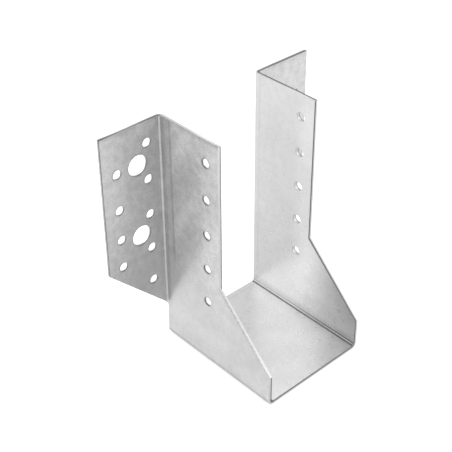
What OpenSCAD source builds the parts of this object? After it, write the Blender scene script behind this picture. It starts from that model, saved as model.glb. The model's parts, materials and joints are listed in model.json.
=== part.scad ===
// A joist hanger, folded from one sheet of galvanised steel. Millimetres.
//
// The joist lies on the seat between the two wings. The two flanges fold
// outwards from the rear of the wings and are nailed or bolted to the header.
//
// The origin is at the middle of the seat's rear edge, on the face that carries
// the joist. X runs across the pocket, -Y out along the joist and Z upwards.
// The flanges' front faces lie in the plane of that rear edge, y = 0, so the
// face that meets the header is one sheet thickness behind it.

/* [Sheet] */
// Thickness of the sheet
sheet_t = 2; // [1:0.1:3]
// Inside radius of every bend
bend_r = 1.2; // [0.5:0.1:4]

/* [Pocket and seat] */
// Clear width between the wings, which is the joist's width
pocket_w = 60; // [40:1:140]
// Depth of the seat, from its rear edge to its front edge
seat_d = 75; // [50:1:120]

/* [Wings] */
// Height of the wings and flanges above the seat
wing_h = 130; // [100:1:240]
// Depth of the narrow upper part of a wing
wing_d = 40; // [20:1:50]
// Height at which a wing starts to slope out towards the seat's front edge
knee_h = 50; // [30:1:80]
// Height of the upright front edge below that slope
lip_h = 16; // [6:1:28]

/* [Flanges] */
// Width of a flange, from the wing's outer face to its free edge
flange_w = 34.5; // [32:0.5:60]
// Height at which the slanted foot of a flange would meet the wing's outer face
foot_h = 19; // [8:0.5:40]
// Slope of that foot, measured from the horizontal
foot_angle = 45; // [20:1:55]

/* [Nail holes] */
// Diameter of a nail hole
nail_d = 5; // [3:0.1:6.5]
// Height from one row of nails to the next
nail_pitch = 20; // [16:0.5:30]
// Drop from the top edge to the first nail of a flange
flange_nail_drop = 11.5; // [8:0.5:20]
// Distance from the wing's outer face to the inner column of nails in a flange
inner_column = 8; // [7:0.5:9]
// Distance from a flange's free edge to its outer column of nails
outer_column = 8.5; // [5:0.5:10]
// Drop from the second nail of the outer column to the third
outer_gap = 17; // [12:0.5:25]
// Drop from the third nail of the outer column to the fourth
outer_last_gap = 16; // [12:0.5:25]
// Drop from the top edge to the first nail of a wing
wing_nail_drop = 12; // [8:0.5:20]
// Distance from a wing's front edge to its column of nails
wing_nail_inset = 8.5; // [5:0.5:14]
// Height above the seat that the nails of a wing keep clear of
wing_nail_floor = 30; // [20:1:60]

/* [Bolt holes] */
// Diameter of a bolt hole
bolt_d = 11; // [6:0.5:13]
// Distance from the wing's outer face to the bolts
bolt_column = 14; // [13.5:0.5:15]

/* [Hidden] */

// Least metal between the rim of a hole and the slanted foot
foot_web = 3;
// How far a cutting shape runs past the faces that it cuts
past = 1;
$fn = 96;

outer_r = bend_r + sheet_t;
outer_w = pocket_w + 2 * sheet_t;
wing_face_x = outer_w / 2;
flange_edge_x = wing_face_x + flange_w;

// Places across the hanger of the three columns in a flange
inner_nail_x = wing_face_x + inner_column;
bolt_x = wing_face_x + bolt_column;
outer_nail_x = flange_edge_x - outer_column;

// Height of the slanted foot at a distance x from the middle of the hanger
function foot_at(x) = foot_h + (x - wing_face_x) * tan(foot_angle);

// True where a hole leaves enough metal above the slanted foot
function clears_foot(x, z, d) = (z - foot_at(x)) * cos(foot_angle) >= d / 2 + foot_web;

// Heights of the holes. The nails of a flange's inner column stand a pitch
// apart, and the bolts lie midway between the first two of them and the next two.
flange_top_nail = wing_h - flange_nail_drop;
flange_rows = ceil(flange_top_nail / nail_pitch);
inner_nail_z = [for (row = [0 : flange_rows - 1]) flange_top_nail - row * nail_pitch];
bolt_z = [for (row = [0.5, 2.5]) flange_top_nail - row * nail_pitch];

// The outer column starts level with the upper bolt and closes up lower down
outer_top_nail = bolt_z[0];
outer_second_nail = outer_top_nail - nail_pitch;
outer_third_nail = outer_second_nail - outer_gap;
outer_last_nail = outer_third_nail - outer_last_gap;
outer_nail_z = [outer_top_nail, outer_second_nail, outer_third_nail, outer_last_nail];

// Nails of a wing, from the top down to the height that they keep clear of
wing_top_nail = wing_h - wing_nail_drop;
wing_rows = 1 + floor((wing_top_nail - wing_nail_floor) / nail_pitch);
wing_nail_z = [for (row = [0 : wing_rows - 1]) wing_top_nail - row * nail_pitch];
wing_nail_y = -(wing_d - wing_nail_inset);

// An upright rectangle with its two lower corners rounded, centred on x = 0
module round_bottomed(width, height, radius) {
    translate([-width / 2, radius])
        square([width, height - radius]);
    translate([radius - width / 2, 0])
        square([width - 2 * radius, 2 * radius]);
    for (side = [-1, 1])
        translate([side * (width / 2 - radius), radius])
            circle(radius);
}

// Cross-section of the seat, the two lower bends and the two wings
module channel_section() {
    difference() {
        translate([0, -sheet_t])
            round_bottomed(outer_w, wing_h + sheet_t, outer_r);
        round_bottomed(pocket_w, wing_h + past, bend_r);
    }
}

// Outline of a wing seen from the side, with the seat below it.
// Above the foot the wing stops where the bend into the flange begins.
module wing_outline() {
    polygon([
        [0, -sheet_t],
        [-seat_d, -sheet_t],
        [-seat_d, lip_h],
        [-wing_d, knee_h],
        [-wing_d, wing_h],
        [-bend_r, wing_h],
        [-bend_r, foot_h],
        [0, foot_h]
    ]);
}

// The seat with both wings, cut from the channel by the wings' outline
module seat_and_wings() {
    intersection() {
        rotate([90, 0, 0])
            linear_extrude(seat_d)
                channel_section();
        rotate([90, 0, 90])
            translate([0, 0, -wing_face_x])
                linear_extrude(outer_w)
                    wing_outline();
    }
}

// Plan of the bend from the right wing into its flange, and of the flange.
// A short leg of the wing goes with it, so that the two parts share metal.
module flange_plan() {
    bend_x = wing_face_x + bend_r;
    translate([bend_x, 0])
        square([flange_w - bend_r, sheet_t]);
    translate([wing_face_x - sheet_t, -2 * outer_r])
        square([sheet_t, 2 * outer_r - bend_r]);
    translate([bend_x, -bend_r])
        intersection() {
            difference() {
                circle(outer_r);
                circle(bend_r);
            }
            translate([-outer_r, 0])
                square(outer_r);
        }
}

// Outline of the right flange seen from the front, with its slanted foot
module flange_outline() {
    inner_x = wing_face_x - sheet_t;
    polygon([
        [inner_x, foot_at(inner_x)],
        [flange_edge_x, foot_at(flange_edge_x)],
        [flange_edge_x, wing_h],
        [inner_x, wing_h]
    ]);
}

// The right flange with its bend
module flange() {
    intersection() {
        linear_extrude(wing_h)
            flange_plan();
        translate([0, sheet_t, 0])
            rotate([90, 0, 0])
                linear_extrude(sheet_t + 2 * outer_r)
                    flange_outline();
    }
}

// A drill through the right flange, from front to back
module flange_drill(x, z, d) {
    translate([x, sheet_t + past, z])
        rotate([90, 0, 0])
            cylinder(d = d, h = sheet_t + 2 * past);
}

// Holes of the right flange: two columns of nails and the two bolts
module flange_holes() {
    for (z = inner_nail_z)
        if (clears_foot(inner_nail_x, z, nail_d))
            flange_drill(inner_nail_x, z, nail_d);
    for (z = outer_nail_z)
        if (clears_foot(outer_nail_x, z, nail_d))
            flange_drill(outer_nail_x, z, nail_d);
    for (z = bolt_z)
        if (clears_foot(bolt_x, z, bolt_d))
            flange_drill(bolt_x, z, bolt_d);
}

// Nail holes of both wings, each drilled straight across the pocket
module wing_holes() {
    for (z = wing_nail_z)
        translate([-wing_face_x - past, wing_nail_y, z])
            rotate([0, 90, 0])
                cylinder(d = nail_d, h = outer_w + 2 * past);
}

// The whole hanger: one piece of sheet, folded at four bends
module joist_hanger() {
    color("silver")
        difference() {
            union() {
                seat_and_wings();
                flange();
                mirror([1, 0, 0])
                    flange();
            }
            flange_holes();
            mirror([1, 0, 0])
                flange_holes();
            wing_holes();
        }
}

joist_hanger();
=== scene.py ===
"""A joist hanger folded from one galvanised sheet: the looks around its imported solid.

Metres, in the solid's own frame. X runs across the pocket, -Y out along the joist, Z up.
The sheet is laid out flat as a blank, and every point of the blank is then carried to its
place on the folded hanger, so holes and edges stay true where the sheet bends.
"""

import json
import math

import bmesh
import bpy
from mathutils import Euler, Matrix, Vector
from mathutils.geometry import delaunay_2d_cdt

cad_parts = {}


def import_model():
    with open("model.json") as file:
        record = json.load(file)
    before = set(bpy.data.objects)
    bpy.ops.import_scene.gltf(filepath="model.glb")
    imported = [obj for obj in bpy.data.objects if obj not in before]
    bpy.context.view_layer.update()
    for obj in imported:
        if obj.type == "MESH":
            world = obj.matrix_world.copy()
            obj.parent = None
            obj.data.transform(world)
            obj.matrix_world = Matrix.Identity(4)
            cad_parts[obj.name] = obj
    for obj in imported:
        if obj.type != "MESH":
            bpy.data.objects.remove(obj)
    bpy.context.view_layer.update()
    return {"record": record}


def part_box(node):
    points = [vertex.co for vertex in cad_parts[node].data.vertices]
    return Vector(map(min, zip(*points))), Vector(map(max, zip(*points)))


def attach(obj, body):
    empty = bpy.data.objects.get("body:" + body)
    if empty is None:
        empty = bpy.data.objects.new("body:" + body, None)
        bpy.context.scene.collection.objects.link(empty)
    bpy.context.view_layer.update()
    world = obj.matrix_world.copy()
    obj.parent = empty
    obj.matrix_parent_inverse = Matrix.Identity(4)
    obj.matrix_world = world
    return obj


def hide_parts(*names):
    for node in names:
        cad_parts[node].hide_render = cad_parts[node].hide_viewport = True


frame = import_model()

MM = 0.001
NODE = "joist_hanger"

# UV maps: places on the blank (outward, forward), and cuts (depth towards the dull side, painted
# shine).
# On the faces the second map says instead how near a hole is, from 0 to 1 at its rim, for the
# painted shade round the holes.
BLANK_UV = "blank"
CUT_UV = "cut"
# Length on the blank that makes one unit of its UV map
UV_UNIT = 0.1

# Sizes of the hanger, from its solid
low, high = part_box(NODE)
SHEET_T = high.y
SEAT_D = -low.y
WING_H = high.z
FLANGE_EDGE_X = high.x

# Sizes that the solid's box doesn't give
POCKET_W = 60 * MM
BEND_R = 1.2 * MM
WING_D = 40 * MM
KNEE_H = 50 * MM
LIP_H = 16 * MM
FOOT_H = 19 * MM
FOOT_SLOPE = 1.0

INNER_X = POCKET_W / 2
OUTER_X = INNER_X + SHEET_T
OUTER_R = BEND_R + SHEET_T

# The blank is measured along its middle layer, so a bend takes up this much of it
BEND_LENGTH = (BEND_R + SHEET_T / 2) * math.pi / 2

# Places on the blank: where the bends start and end, forward and outward
FLANGE_P = BEND_R - BEND_LENGTH
EDGE_P = FLANGE_P - (FLANGE_EDGE_X - OUTER_X - BEND_R)
SEAT_HALF = INNER_X - BEND_R
WING_S = SEAT_HALF + BEND_LENGTH

# Material slots of the sheet
OUTER_FACE, POCKET_FACE, CUT_EDGE, HOLE_WALL = range(4)

# How far the shears round the sheet's edges: much where they enter, little where they leave
ROLLOVER = 0.26 * MM
BURR_SIDE = 0.45

# Fineness of the mesh
BEND_STEPS = 12
HOLE_STEPS = 48
# Width of the band of even faces round a hole
HOLE_BAND = 1 * MM
EASE_ROWS = 8
# Points of the blank nearer than this are one point
SAME_POINT = 0.001 * MM
# Height below the foot over which the rear edge straightens out of the bend
EASE_H = 7 * MM


def mounts(*starts):
    """The record's mounts whose names start with one of the given words."""
    return [m for m in frame["record"]["mounts"] if m["name"].startswith(starts)]


def heights(mount):
    """Heights of a mount's holes: two rows where it states a spacing upwards, else one."""
    half = mount["dims"].get("spacing_y_mm", 0) * MM / 2
    middle = mount["pos_m"][2]
    return (middle - half, middle + half) if half else (middle,)


def flange_holes():
    """(distance from the middle, height, radius) of each hole in a flange."""
    holes = []
    for mount in mounts("header_nails", "header_bolts"):
        dims = mount["dims"]
        x = dims["spacing_x_mm"] * MM / 2
        holes += [(x, z, dims["hole_r_mm"] * MM) for z in heights(mount)]
    return holes


def wing_holes():
    """(distance in front of the rear edge, height, radius) of each hole in a wing."""
    holes = []
    for mount in mounts("joist_nails_right", "joist_nail_right"):
        dims = mount["dims"]
        radius = dims.get("hole_r_mm", dims.get("r_mm")) * MM
        holes += [(-mount["pos_m"][1], z, radius) for z in heights(mount)]
    return holes


# The blank of one side. p runs forward from the rear edge of the seat, so it is negative
# in the flange, and z is the height on the wing. The layer is the distance from the face
# that lines the pocket, from 0 to the sheet's thickness.

def bend_angle(p):
    """How far the sheet has turned towards the flange at p, in radians."""
    return min(max((BEND_R - p) / BEND_LENGTH, 0), 1) * math.pi / 2


def bent_place(p, layer):
    """(x, y) of a point of the right wing's bend or flange."""
    centre_x = OUTER_X + BEND_R
    radius = OUTER_R - layer
    angle = bend_angle(p)
    past_bend = max(FLANGE_P - p, 0)
    x = centre_x - radius * math.cos(angle) + past_bend
    y = -BEND_R + radius * math.sin(angle)
    return x, y


def foot_height(p):
    """Height of the slanted foot of the flange at p."""
    x, _ = bent_place(p, SHEET_T / 2)
    return FOOT_H + (x - OUTER_X) * FOOT_SLOPE


CORNER_Z = foot_height(0)


def eased(z):
    """1 where the rear strip of the wing follows the bend, 0 where it is straight."""
    k = min(max((z - CORNER_Z + EASE_H) / EASE_H, 0), 1)
    return k * k * (3 - 2 * k)


def side_point(p, z, layer):
    """A point of the right side above the lower bend."""
    straight = (INNER_X + layer, -p)
    if p >= BEND_R:
        return Vector((*straight, z))
    bent = bent_place(p, layer)
    k = 1 if p < 0 else eased(z)
    x = straight[0] + (bent[0] - straight[0]) * k
    y = straight[1] + (bent[1] - straight[1]) * k
    return Vector((x, y, z))


def lower_point(p, turn, layer):
    """A point of the right lower bend, from turn 0 at the wing to 1 at the seat."""
    angle = turn * math.pi / 2
    radius = BEND_R + layer
    x = INNER_X - BEND_R + radius * math.cos(angle)
    z = BEND_R - radius * math.sin(angle)
    return Vector((x, -p, z))


class Blank:
    """The blank of the right side: named points and faces that join them."""

    def __init__(self):
        self.places = []
        self.index = {}
        self.faces = []
        self.hole_points = set()

    def point(self, kind, a, b):
        key = (kind, round(a / SAME_POINT), round(b / SAME_POINT))
        if key not in self.index:
            self.index[key] = len(self.places)
            self.places.append((kind, a, b))
        return self.index[key]

    def side(self, p, z):
        return self.point("side", p, z)

    def lower(self, p, turn):
        if turn == 0:
            return self.side(p, BEND_R)
        return self.point("lower", p, turn)

    def strip(self, lower_row, upper_row):
        """Quads between two rows of points."""
        for i in range(len(lower_row) - 1):
            self.faces.append((lower_row[i], lower_row[i + 1], upper_row[i + 1], upper_row[i]))

    def panel(self, outline, holes):
        """A flat panel: triangles out to a band of quads round each hole."""
        loops = [outline]
        for p, z, radius in holes:
            rim = circle(p, z, radius)
            band = circle(p, z, radius + HOLE_BAND)
            loops.append(band)
            rim_row = [self.side(*at) for at in rim + rim[:1]]
            self.strip([self.side(*at) for at in band + band[:1]], rim_row)
            self.hole_points.update(rim_row)
        points = [at for loop in loops for at in loop]
        edges = []
        for loop in loops:
            first = points.index(loop[0])
            edges += [(first + i, first + (i + 1) % len(loop)) for i in range(len(loop))]
        # The outline runs anticlockwise and the holes are loops within it
        flat = [Vector(at) / MM for at in points]
        _, _, faces, sources, _, _ = delaunay_2d_cdt(flat, edges, [], 1, 1e-7)
        for face in faces:
            corners = [sources[i][0] for i in face]
            middle = sum((flat[i] for i in corners), Vector((0, 0))) / len(corners)
            if inside(middle, outline) and not any(inside(middle, loop) for loop in loops[1:]):
                self.faces.append(tuple(self.side(*points[i]) for i in corners))


def circle(p, z, radius):
    """Points of the blank round a hole, anticlockwise."""
    turns = [2 * math.pi * i / HOLE_STEPS for i in range(HOLE_STEPS)]
    return [(p + radius * math.cos(t), z + radius * math.sin(t)) for t in turns]


def inside(point, loop):
    """True if a point, in millimetres, lies within a loop of the blank."""
    crossings = 0
    for (p0, z0), (p1, z1) in zip(loop, loop[1:] + loop[:1]):
        if (z0 > point.y * MM) != (z1 > point.y * MM):
            crossing = p0 + (point.y * MM - z0) / (z1 - z0) * (p1 - p0)
            crossings += crossing > point.x * MM
    return crossings % 2 == 1


def blank_of_one_side():
    """The right side's blank, from its flange to the middle of the seat."""
    blank = Blank()

    # Columns across the bend, with one of them on the rear edge of the seat
    front = [BEND_R * (1 - i / BEND_STEPS) for i in range(BEND_STEPS + 1)]
    back = [FLANGE_P * i / BEND_STEPS for i in range(1, BEND_STEPS + 1)]
    rows = [CORNER_Z - EASE_H * (1 - i / EASE_ROWS) for i in range(EASE_ROWS + 1)]
    low_rows = [BEND_R] + rows

    # Flange, then its bend, then the rear strip of the wing below the foot
    blank.panel(
        [(EDGE_P, foot_height(EDGE_P)), (FLANGE_P, foot_height(FLANGE_P)),
         (FLANGE_P, WING_H), (EDGE_P, WING_H)],
        [(FLANGE_P - (x - OUTER_X - BEND_R), z, radius) for x, z, radius in flange_holes()])
    bottom = [blank.side(p, CORNER_Z) for p in front]
    bottom += [blank.side(p, foot_height(p)) for p in back]
    top = [blank.side(p, WING_H) for p in front + back]
    blank.strip(bottom[::-1], top[::-1])
    for z0, z1 in zip(low_rows, low_rows[1:]):
        blank.strip([blank.side(p, z0) for p in front[::-1]],
                    [blank.side(p, z1) for p in front[::-1]])

    # Wing
    blank.panel(
        [(BEND_R, BEND_R), (SEAT_D, BEND_R), (SEAT_D, LIP_H), (WING_D, KNEE_H),
         (WING_D, WING_H), (BEND_R, WING_H)] + [(BEND_R, z) for z in low_rows[:0:-1]],
        wing_holes())

    # Lower bend and half of the seat
    columns = front[::-1] + [SEAT_D]
    turns = [i / BEND_STEPS for i in range(BEND_STEPS + 1)]
    for t0, t1 in zip(turns, turns[1:]):
        blank.strip([blank.lower(p, t1) for p in columns], [blank.lower(p, t0) for p in columns])
    middle = [blank.point("middle", p, 0) for p in columns]
    blank.strip(middle, [blank.lower(p, 1) for p in columns])
    return blank


def place(kind, a, b, layer):
    """Where a point of the blank lies on the folded right side."""
    if kind == "side":
        return side_point(a, b, layer)
    if kind == "lower":
        return lower_point(a, b, layer)
    return Vector((0, -a, -layer))


def outward(z):
    """Distance from the middle of the blank of a point at height z on the wing."""
    return WING_S + z - BEND_R


def on_blank(kind, a, b):
    """(outward, forward) place of a point on the flat blank."""
    if kind == "side":
        return outward(b), a
    if kind == "lower":
        return SEAT_HALF + BEND_LENGTH * (1 - b), a
    return 0, a


# Looks of the cuts: (layer on the dull side, depth there, depth on the bright side, painted
# shine).
# The broken, dull part of a cut begins where the depth is about a half. The bright and dull bands
# stand partly for the real burnish and break of a sheared edge and partly for painted light and
# shade: each cut's depths and its painted shine, a tone factor, follow how light and shade fall on
# that edge.
CUT_LOOKS = {
    "front": (0, 1.0, 0.0, 0.75),
    "slope": (0, 1.0, 0.1, 0.9),
    "left lip": (0, 0.85, -0.1, 0.66),
    "left front": (0, 0.65, 0.2, 0.72),
    "left slope": (SHEET_T, 0.55, 0.4, 0.97),
    "right wing": (SHEET_T, 0.85, 0.2, 0.7),
    "left wing": (SHEET_T, 0.62, 0.2, 0.7),
    "flange edge": (SHEET_T, 0.66, 0.42, 0.78),
    "flange": (SHEET_T, 1.0, 0.3, 0.85),
    "right wing hole": (SHEET_T, 0.58, 0.3, 0.7),
    "hole": (SHEET_T, 1.0, 0.0, 1.0),
}


def cut_look(side, start, end):
    """Name of the look of a cut of the outline between two places of the blank."""
    ends = [on_blank(*at) for at in (start, end)]
    low_s = min(s for s, _ in ends)
    low_p, high_p = sorted(p for _, p in ends)
    upright = high_p - low_p < SAME_POINT
    if low_p > WING_D - SAME_POINT:
        if side == 1 or low_s < WING_S - SAME_POINT:
            return "front" if upright else "slope"
        # The left wing's front takes its own painted light and shade, with less of the cut dull
        if not upright:
            return "left slope"
        return "left lip" if low_p > SEAT_D - SAME_POINT else "left front"
    if low_p > -SAME_POINT:
        return "right wing" if side == 1 else "left wing"
    return "flange edge" if upright and low_p < EDGE_P + SAME_POINT else "flange"


def hole_look(side, start):
    """The same for the wall of a hole: the right wing's are bright nearly all through, a painted
    look for the light that falls in them.
    """
    right_wing = side == 1 and on_blank(*start)[1] > 0
    return "right wing hole" if right_wing else "hole"


def open_edges(faces):
    """Directed edges of the blank that only one face has."""
    edges = {}
    for face in faces:
        for a, b in zip(face, face[1:] + face[:1]):
            edges[frozenset((a, b))] = None if frozenset((a, b)) in edges else (a, b)
    return [edge for edge in edges.values() if edge]


def folded_sheet(name):
    """The hanger as one closed mesh, laid out on its blank by its UV map."""
    blank = blank_of_one_side()
    bm = bmesh.new()
    laid_out = bm.loops.layers.uv.new(BLANK_UV)
    cut_depth = bm.loops.layers.uv.new(CUT_UV)
    weight = bm.edges.layers.float.new("bevel_weight_edge")
    verts = {}

    def vert(i, side, layer):
        kind, a, b = blank.places[i]
        if kind == "middle":
            side = 1
        key = (i, side, layer)
        if key not in verts:
            at = place(kind, a, b, layer)
            verts[key] = bm.verts.new((side * at.x, at.y, at.z))
        return verts[key]

    # The two halves of the blank meet along its middle, which is no rim
    rims = [(a, b) for a, b in open_edges(blank.faces)
            if {blank.places[a][0], blank.places[b][0]} != {"middle"}]

    def face(corners, side, material, flip, look=None):
        """A face through (point, layer) corners, with its UVs."""
        ring = corners[::-1] if flip else corners
        made = bm.faces.new([vert(i, side, layer) for i, layer in ring])
        made.material_index = material
        for loop, (i, layer) in zip(made.loops, ring):
            s, p = on_blank(*blank.places[i])
            loop[laid_out].uv = (side * s / UV_UNIT, p / UV_UNIT)
            if look:
                # Each cut's bands and painted shine, a tone factor for the light on that edge
                dull_layer, dull_depth, bright_depth, painted_shine = CUT_LOOKS[look]
                loop[cut_depth].uv = (dull_depth if layer == dull_layer else bright_depth, painted_shine)
            else:
                loop[cut_depth].uv = (i in blank.hole_points, 0)
        return made

    for side in (1, -1):
        for layer, material in ((0, POCKET_FACE), (SHEET_T, OUTER_FACE)):
            for points in blank.faces:
                face([(i, layer) for i in points], side, material, (side == 1) == (layer == 0))
        for a, b in rims:
            start, end = blank.places[a], blank.places[b]
            if a in blank.hole_points:
                material, look = HOLE_WALL, hole_look(side, start)
            else:
                material, look = CUT_EDGE, cut_look(side, start, end)
            corners = [(a, 0), (b, 0), (b, SHEET_T), (a, SHEET_T)]
            made = face(corners, side, material, side == -1, look)
            for edge in made.edges:
                materials = {f.material_index for f in edge.link_faces}
                if OUTER_FACE in materials:
                    edge[weight] = 1.0
                elif POCKET_FACE in materials:
                    edge[weight] = BURR_SIDE
    bmesh.ops.recalc_face_normals(bm, faces=bm.faces)
    mesh = bpy.data.meshes.new(name)
    bm.to_mesh(mesh)
    bm.free()
    for polygon in mesh.polygons:
        polygon.use_smooth = True
    obj = bpy.data.objects.new(name, mesh)
    bpy.context.scene.collection.objects.link(obj)
    return obj


def ease_edges(obj):
    """Rounds the cut edges a little and keeps the flat faces flat in shading."""
    bevel = obj.modifiers.new("eased_edges", "BEVEL")
    bevel.width = ROLLOVER
    bevel.segments = 2
    bevel.limit_method = "WEIGHT"
    bevel.material = OUTER_FACE
    normals = obj.modifiers.new("flat_faces", "WEIGHTED_NORMAL")
    normals.weight = 100
    normals.keep_sharp = False


class Nodes:
    """Short hand for building the nodes of a material or of the world."""

    def __init__(self, owner, shader="Principled BSDF"):
        owner.use_nodes = True
        self.tree = owner.node_tree
        self.shader = self.tree.nodes[shader]

    def link(self, source, target):
        """Joins two sockets, or sets the target where the source is a number or colour."""
        if isinstance(source, bpy.types.NodeSocket):
            self.tree.links.new(source, target)
        else:
            target.default_value = source

    def give(self, name, source):
        """The same for an input of the shader."""
        self.link(source, self.shader.inputs[name])

    def node(self, kind, **settings):
        made = self.tree.nodes.new(kind)
        for key, value in settings.items():
            setattr(made, key, value)
        return made

    def math(self, operation, *values):
        made = self.node("ShaderNodeMath", operation=operation)
        for value, socket in zip(values, made.inputs):
            self.link(value, socket)
        return made.outputs[0]

    def ramp(self, value, from_min, from_max, to_min, to_max):
        """A smooth step from one value to another."""
        made = self.node("ShaderNodeMapRange", interpolation_type="SMOOTHSTEP")
        for socket, number in zip(made.inputs[:5], (value, from_min, from_max, to_min, to_max)):
            self.link(number, socket)
        return made.outputs[0]

    def noise(self, scale, detail=2.0, roughness=0.5):
        """Noise around 0.5, whose features measure about 1 / scale metres."""
        made = self.node("ShaderNodeTexNoise")
        self.link(self.node("ShaderNodeTexCoord").outputs["Object"], made.inputs["Vector"])
        made.inputs["Scale"].default_value = scale
        made.inputs["Detail"].default_value = detail
        made.inputs["Roughness"].default_value = roughness
        return made.outputs["Fac"]

    def spread(self, noise, low_value, high_value):
        """Noise stretched so that it runs over nearly all of a range."""
        return self.ramp(noise, 0.3, 0.7, low_value, high_value)

    def map_place(self, uv_map):
        """The two coordinates of a UV map."""
        split = self.node("ShaderNodeSeparateXYZ")
        self.link(self.node("ShaderNodeUVMap", uv_map=uv_map).outputs[0], split.inputs[0])
        return split.outputs[:2]

    def blank_place(self):
        """(forward, outward) place on the blank, in metres."""
        outward_uv, forward_uv = self.map_place(BLANK_UV)
        outward_uv = self.math("ABSOLUTE", outward_uv)
        return [self.math("MULTIPLY", value, UV_UNIT) for value in (forward_uv, outward_uv)]

    def band(self, at, start, end, soft):
        """1 from start to end and 0 beyond, with edges of the given softness."""
        rise = self.ramp(at, start - soft / 2, start + soft / 2, 0, 1)
        fall = self.ramp(at, end - soft / 2, end + soft / 2, 1, 0)
        return self.math("MULTIPLY", rise, fall)

    def grey(self, value):
        made = self.node("ShaderNodeCombineColor")
        for socket in made.inputs[:3]:
            self.link(value, socket)
        return made.outputs[0]


# Mean tone of the zinc, as a metal's base colour
ZINC = 0.625

# Width over which each patch of painted light and shade fades out
PATCH_SOFT = 14 * MM
# Broad, faint patches of painted light and shade: (start, end, lowest, highest) in
# millimetres, forward on the blank and up the wing, with the factor each gives the tone, above 1
# for painted light and below 1 for painted shade
OUTER_PAINTED_LIGHT_PATCHES = (
    ((2, 80, -5, 18), 1.08),
    ((2, 22, 18, 42), 1.08),
    ((30, 60, 70, 125), 1.04),
    ((2, 15, 58, 100), 0.94),
    ((-40, -2, 28, 60), 0.93),
    ((-40, -15, 85, 135), 1.05),
)
POCKET_PAINTED_LIGHT_PATCHES = (
    ((32, 66, 14, 150), 1.15),
    ((-20, 55, -80, -2), 0.95),
)


def patch(n, forward, outward_at, start, end, lowest, highest):
    """1 within a patch of a face and 0 beyond, with a broad soft rim."""
    across = n.band(forward, start * MM, end * MM, PATCH_SOFT)
    upward = n.band(outward_at, outward(lowest * MM), outward(highest * MM), PATCH_SOFT)
    return n.math("MULTIPLY", across, upward)


# Painted highlight and shade across the upright bend, on the face that the flanges fold towards:
# (start, end, soft) in millimetres forward of the bend's flange end, and the factor each gives the
# tone: a light line at the bend's flange end, darker bands over the rest
BEND_MM = BEND_LENGTH / MM
BEND_PAINTED_LIGHT = (
    ((-0.8, 0.1, 0.4), 1.12),
    ((0.1, 2.6, 0.6), 0.84),
    ((2.5, BEND_MM + 2.0, 1.0), 0.84),
    ((2.3, BEND_MM, 0.6), 0.85),
)
# Height over which they fade in above the foot
BEND_PAINTED_LIGHT_FADE = 4 * MM

# Painted reflection of the flange and its bend in the wing beside that bend, as darker bands, in
# the same way but forward of the seat's rear edge
PAINTED_BEND_REFLECTION = (
    ((BEND_R / MM, 7.1, 1.0), 0.94),
    ((6.4, 7.8, 0.9), 0.78),
)
# Heights between which they fade in
PAINTED_BEND_REFLECTION_FADE = (40 * MM, 62 * MM)

# Painted shade along the top edge: (start, end, soft) from that edge
TOP_EDGE_PAINTED_SHADE = ((-1.2, 2, 2.0), 0.88)
# Painted shade round the holes, over the band at their rims
HOLE_RIM_PAINTED_SHADE = 0.8
# Painted shade over the outside of the lower bend, next to the floor: (start, end, soft) from its
# seat end
LOWER_BEND_PAINTED_SHADE = ((0, BEND_MM + 0.8, 2.0), 0.8)

# Painted shade and light along the lower bend on the face that lines the pocket, darkest in the
# crease, in millimetres outward of the bend's seat end, with the factor at the rear and a further
# one at the front
LOWER_CREASE_PAINTED_LIGHT = (
    ((0.1, 1.9, 0.4), 0.18, 1),
    ((2.0, 2.9, 0.3), 0.9, 1.5),
    ((3.0, BEND_MM + 0.5, 0.3), 0.8, 0.5),
    ((BEND_MM + 0.6, BEND_MM + 3.5, 4.0), 0.84, 1),
)
# Places forward between which that further factor sets in
TOWARDS_FRONT = (15 * MM, 65 * MM)
# Painted shade line on that face beside the upright bend, forward of the seat's rear edge
POCKET_PAINTED_SHADE_LINE = ((2.7, 3.3, 0.4), 0.9)


def stripe(n, at, origin, where):
    """1 within a stripe and 0 beyond, from (start, end, soft) in millimetres past an origin."""
    start, end, soft = (value * MM for value in where)
    return n.band(at, origin + start, origin + end, soft)


def outer_painted_light_marks(n, forward, outward_at):
    """(mask, tone factor) of the painted light and shade on the face that the flanges fold
    towards: painted highlight and shade over the upright bend, painted reflection of that bend in
    the wing, and painted shade along the top edge, over the lower bend and round the holes.
    """
    above_foot = n.ramp(outward_at, outward(FOOT_H), outward(FOOT_H) + BEND_PAINTED_LIGHT_FADE, 0, 1)
    pressed = n.ramp(outward_at, *(outward(height) for height in PAINTED_BEND_REFLECTION_FADE), 0, 1)
    painted_light_marks = [(n.math("MULTIPLY", stripe(n, forward, FLANGE_P, where), above_foot), factor)
             for where, factor in BEND_PAINTED_LIGHT]
    painted_light_marks += [(n.math("MULTIPLY", stripe(n, forward, 0, where), pressed), factor)
              for where, factor in PAINTED_BEND_REFLECTION]
    for origin, (where, factor) in ((outward(WING_H), TOP_EDGE_PAINTED_SHADE), (SEAT_HALF, LOWER_BEND_PAINTED_SHADE)):
        painted_light_marks.append((stripe(n, outward_at, origin, where), factor))
    return painted_light_marks + [(n.map_place(CUT_UV)[0], HOLE_RIM_PAINTED_SHADE)]


def pocket_painted_light_marks(n, forward, outward_at):
    """(mask, tone factor) of the painted light and shade on the face that lines the pocket: along
    the lower crease and beside the upright bend.
    """
    towards_front = n.ramp(forward, *TOWARDS_FRONT, 0, 1)
    painted_light_marks = []
    for where, factor, front_factor in LOWER_CREASE_PAINTED_LIGHT:
        mask = stripe(n, outward_at, SEAT_HALF, where)
        painted_light_marks.append((mask, factor))
        if front_factor != 1:
            painted_light_marks.append((n.math("MULTIPLY", mask, towards_front), front_factor))
    where, factor = POCKET_PAINTED_SHADE_LINE
    return painted_light_marks + [(stripe(n, forward, 0, where), factor)]


# Scales of the noises in the coating, in features a metre
CLOUD_SCALE = 45
MOTTLE_SCALE = 260
GRAIN_SCALE = 1800
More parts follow.
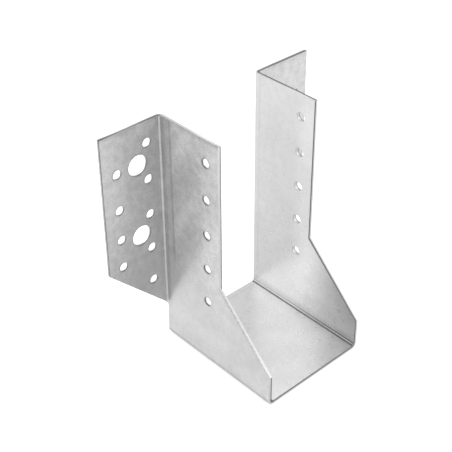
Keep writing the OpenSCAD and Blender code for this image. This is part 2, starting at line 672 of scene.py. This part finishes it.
# How far the clouds move the tone, and the mottle the roughness
CLOUD_DEPTH = 0.025
ROUGHNESS_DEPTH = 0.04
# Heights between which the grain goes from its lower depth to its upper one
GRAIN_RISE = (30 * MM, 60 * MM)
BUMP_STRENGTH = 0.03
BUMP_HEIGHT = 0.02 * MM


def zinc(name, painted_light_marks, patches, grain_depths, roughness, anisotropy):
    """Galvanised face of the sheet: soft clouds and a fine grain, with painted light and shade
    along its bends, edges and holes and in broad patches.

    The two depths are how far the grain moves the tone low on the sheet and high up.
    """
    material = bpy.data.materials.new(name)
    n = Nodes(material)
    at = n.blank_place()
    # Painted light and shade: the masks along bends, edges and holes, and the broad patches
    painted_tones = painted_light_marks(n, *at) + [(patch(n, *at, *where), factor) for where, factor in patches]
    clouds = n.noise(CLOUD_SCALE, detail=3)
    mottle = n.noise(MOTTLE_SCALE, detail=4, roughness=0.6)
    grain = n.noise(GRAIN_SCALE)
    tone = n.math("ADD", n.spread(clouds, -CLOUD_DEPTH, CLOUD_DEPTH), ZINC)
    depth = n.ramp(at[1], *(outward(height) for height in GRAIN_RISE), *grain_depths)
    for noise in (mottle, grain):
        tone = n.math("MULTIPLY_ADD", n.spread(noise, -1, 1), depth, tone)
    # Each painted mask lightens or darkens the tone by its factor
    for mask, factor in painted_tones:
        tone = n.math("MULTIPLY", tone, n.math("MULTIPLY_ADD", mask, factor - 1, 1))
    n.give("Base Color", n.grey(tone))
    n.give("Roughness", n.spread(mottle, roughness - ROUGHNESS_DEPTH, roughness + ROUGHNESS_DEPTH))
    n.give("Metallic", 1.0)
    n.give("Anisotropic", anisotropy)
    tangent = n.node("ShaderNodeTangent", direction_type="UV_MAP", uv_map=BLANK_UV)
    n.give("Tangent", tangent.outputs[0])
    bump = n.node("ShaderNodeBump")
    bump.inputs["Strength"].default_value = BUMP_STRENGTH
    bump.inputs["Distance"].default_value = BUMP_HEIGHT
    n.link(mottle, bump.inputs["Height"])
    n.give("Normal", bump.outputs[0])
    return material


# Depths between which a cut turns from bright to dull, and how ragged that line is
BREAK_START, BREAK_END = 0.4, 0.65
BREAK_RAGGED = 0.02
BREAK_SCALE = 700


def cut_steel(name, bright, dull, roughness, metallic):
    """Sheared steel: a bright band where the tool slid by, and a dull one where it broke, each cut
    scaled by its painted shine for the light that falls on it.
    """
    material = bpy.data.materials.new(name)
    n = Nodes(material)
    depth, painted_shine = n.map_place(CUT_UV)
    ragged = n.spread(n.noise(BREAK_SCALE), -BREAK_RAGGED, BREAK_RAGGED)
    tone = n.ramp(n.math("ADD", depth, ragged), BREAK_START, BREAK_END, bright, dull)
    # The cut's painted shine scales its tone for the light that falls on that edge
    n.give("Base Color", n.grey(n.math("MULTIPLY", tone, painted_shine)))
    n.give("Metallic", metallic)
    n.give("Roughness", roughness)
    return material


# The camera stands where the photograph's did: fitted to its edges and holes
CAMERA_AT = Vector((-296.76, -334.32, 368.62)) * MM
CAMERA_AZIMUTH = -43.06
CAMERA_ELEVATION = 34.74
CAMERA_ROLL = -0.06
FOCAL_PX = 1053.54
CENTRE_PX = (234.73, 215.24)
IMAGE_PX = 452
SENSOR_MM = 36


def camera():
    data = bpy.data.cameras.new("camera")
    data.sensor_width = SENSOR_MM
    data.lens = FOCAL_PX / IMAGE_PX * SENSOR_MM
    data.shift_x = (IMAGE_PX / 2 - CENTRE_PX[0]) / IMAGE_PX
    data.shift_y = (CENTRE_PX[1] - IMAGE_PX / 2) / IMAGE_PX
    data.clip_start = 0.01
    obj = bpy.data.objects.new("camera", data)
    bpy.context.scene.collection.objects.link(obj)
    obj.location = CAMERA_AT
    turn = Euler((math.radians(90 - CAMERA_ELEVATION), 0, math.radians(CAMERA_AZIMUTH)), "XYZ")
    roll = Euler((0, 0, math.radians(CAMERA_ROLL)), "XYZ")
    obj.rotation_euler = (turn.to_matrix() @ roll.to_matrix()).to_euler()
    bpy.context.scene.camera = obj


def is_ray(nodes, kind):
    """1 for rays of the given kind, 0 for the others."""
    return nodes.node("ShaderNodeLightPath").outputs[f"Is {kind} Ray"]


def seen(nodes):
    """1 for rays from the camera and for reflections, 0 for the light that falls on things."""
    return nodes.math("MAXIMUM", is_ray(nodes, "Camera"), is_ray(nodes, "Glossy"))


FLOOR_SIZE = 6.0
# Keeps the floor clear of the seat's underside
FLOOR_GAP = 0.02 * MM
FLOOR_ALBEDO = 0.8
# Glow of the floor where it is seen or reflected, so that it comes out white
FLOOR_LIFT = 0.14
# More of it for the camera, so that the shadow stays faint
FLOOR_WHITE = 0.3


def floor():
    """A large pale floor under the seat."""
    half = FLOOR_SIZE / 2
    mesh = bpy.data.meshes.new("floor")
    corners = [(-half, -half), (half, -half), (half, half), (-half, half)]
    mesh.from_pydata([(x, y, low.z - FLOOR_GAP) for x, y in corners], [], [(0, 1, 2, 3)])
    obj = bpy.data.objects.new("floor", mesh)
    bpy.context.scene.collection.objects.link(obj)
    material = bpy.data.materials.new("pale_floor")
    n = Nodes(material)
    n.give("Base Color", (FLOOR_ALBEDO, FLOOR_ALBEDO, FLOOR_ALBEDO, 1))
    n.give("Roughness", 1.0)
    n.give("Specular IOR Level", 0.0)
    n.give("Emission Color", (1, 1, 1, 1))
    lift = n.math("MULTIPLY", seen(n), FLOOR_LIFT)
    n.give("Emission Strength", n.math("MULTIPLY_ADD", is_ray(n, "Camera"), FLOOR_WHITE, lift))
    obj.data.materials.append(material)


# Strength of the world as a light
WORLD_LIGHT = 0.85


def world():
    """White where it is seen, dimmer as a light."""
    data = bpy.data.worlds.new("studio")
    bpy.context.scene.world = data
    n = Nodes(data, "Background")
    n.give("Color", (1, 1, 1, 1))
    n.give("Strength", n.ramp(seen(n), 0, 1, WORLD_LIGHT, 1.0))


# Direction and radiance of each lamp
LAMPS = {
    "left": ((-0.8, 0.3, 0.58), 1.0),
    "back_left": ((-0.3, 0.8, 0.58), 0.41),
    "high_left": ((-0.4, 0.45, 0.9), 0.6),
    "overhead": ((0, 0, 1), 0.5),
    "front_right": ((0.54, -0.61, 0.58), 0.6),
}
# Their distance and side in metres, and the point that they face
LAMP_DISTANCE = 1.2
LAMP_SIZE = 1.0
LAMPS_FACE = Vector((0, -0.03, 0.05))


def softbox(name, towards, radiance):
    """A square lamp that faces the hanger from the given direction."""
    data = bpy.data.lights.new(name, "AREA")
    data.size = LAMP_SIZE
    # A one-sided square lamp of 1 W/m2 has a radiance of 1 / pi
    data.energy = radiance * math.pi * LAMP_SIZE ** 2
    obj = bpy.data.objects.new(name, data)
    bpy.context.scene.collection.objects.link(obj)
    direction = Vector(towards).normalized()
    obj.location = LAMPS_FACE + direction * LAMP_DISTANCE
    obj.rotation_euler = direction.to_track_quat("Z", "Y").to_euler()


hanger = folded_sheet("folded_hanger")
ease_edges(hanger)
sheet_materials = {
    OUTER_FACE: zinc("zinc_outer", outer_painted_light_marks, OUTER_PAINTED_LIGHT_PATCHES,
                     grain_depths=(0.026, 0.06), roughness=0.4, anisotropy=0.8),
    POCKET_FACE: zinc("zinc_pocket", pocket_painted_light_marks, POCKET_PAINTED_LIGHT_PATCHES,
                      grain_depths=(0.018, 0.018), roughness=0.3, anisotropy=0.6),
    CUT_EDGE: cut_steel("sheared_edge", bright=0.85, dull=0.2, roughness=0.4, metallic=0.9),
    HOLE_WALL: cut_steel("punched_wall", bright=0.92, dull=0.15, roughness=0.35, metallic=1.0),
}
for slot in sorted(sheet_materials):
    hanger.data.materials.append(sheet_materials[slot])
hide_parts(NODE)
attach(hanger, "root")

floor()
world()
for lamp, (towards, radiance) in LAMPS.items():
    softbox(lamp, towards, radiance)
camera()
bpy.context.scene.view_settings.view_transform = "Standard"
